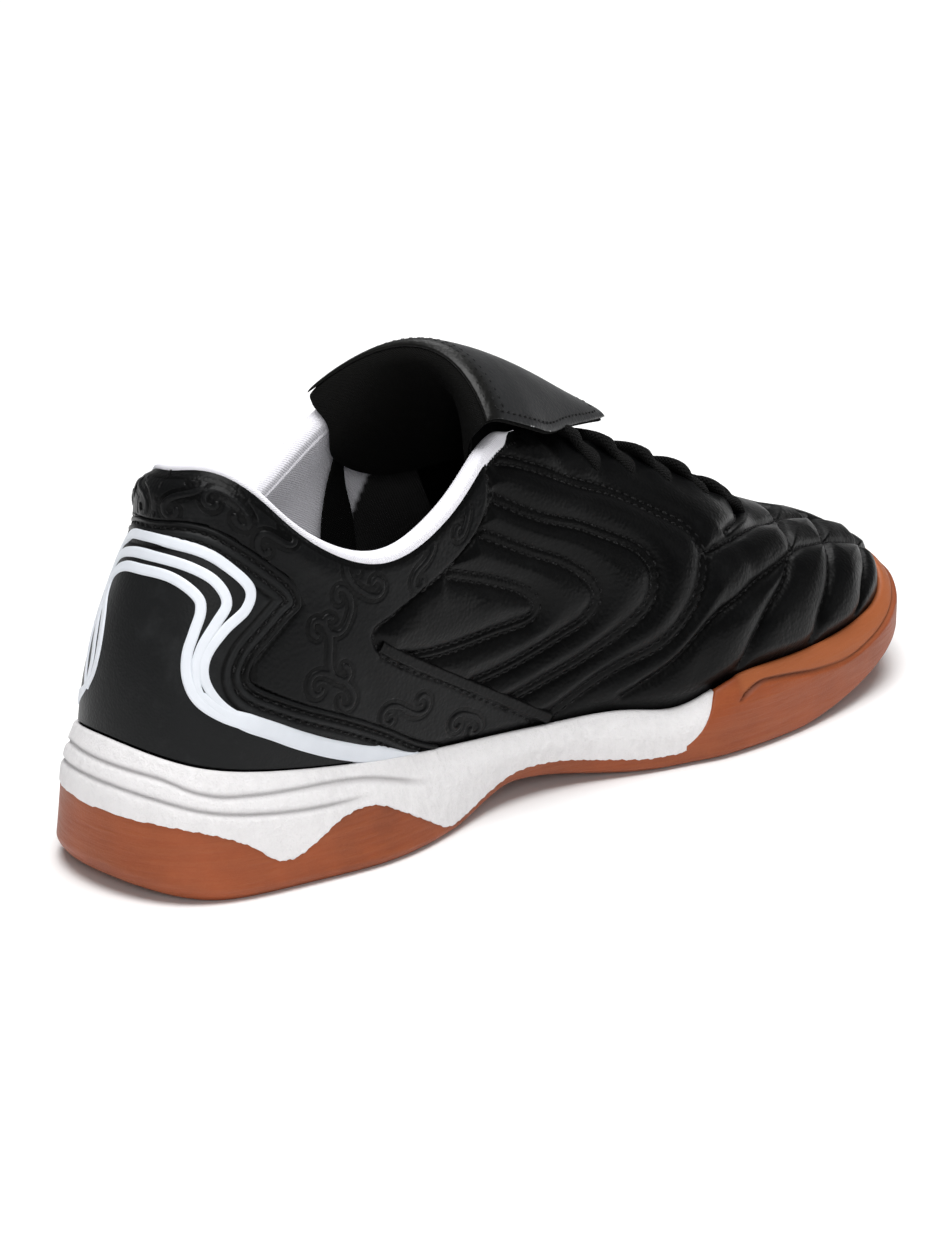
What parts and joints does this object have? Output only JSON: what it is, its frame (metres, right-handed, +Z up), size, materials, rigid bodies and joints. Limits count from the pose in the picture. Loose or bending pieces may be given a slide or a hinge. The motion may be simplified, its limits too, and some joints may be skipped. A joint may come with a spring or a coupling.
{
  "type": "indoor court shoe",
  "caption": "Low leather indoor court shoe for the right foot, with a gum outsole, white midsole, quilted upper, heel counter and a tongue folded forward as a flap over flat laces.",
  "frame": {"origin": "on the floor, under the middle of the sole's length and width", "axes": "+X to the toe, +Y to the inner side of the foot, +Z up"},
  "size_m": [0.285, 0.0926, 0.123],
  "materials": {
    "gum_rubber": "matte gum rubber",
    "white_foam": "brushed white foam",
    "insole_foam": "cloth-faced foam",
    "black_leather": "fine-grained black leather",
    "counter_leather": "smooth black leather",
    "tongue_leather": "black leather, cloth lined",
    "lace_cotton": "flat woven black lace"
  },
  "bodies": {
    "root": {"outsole": "gum_rubber", "midsole": "white_foam", "insole": "insole_foam", "upper": "black_leather", "heel_counter": "counter_leather", "tongue": "tongue_leather", "laces": "lace_cotton"}
  },
  "joints": []
}
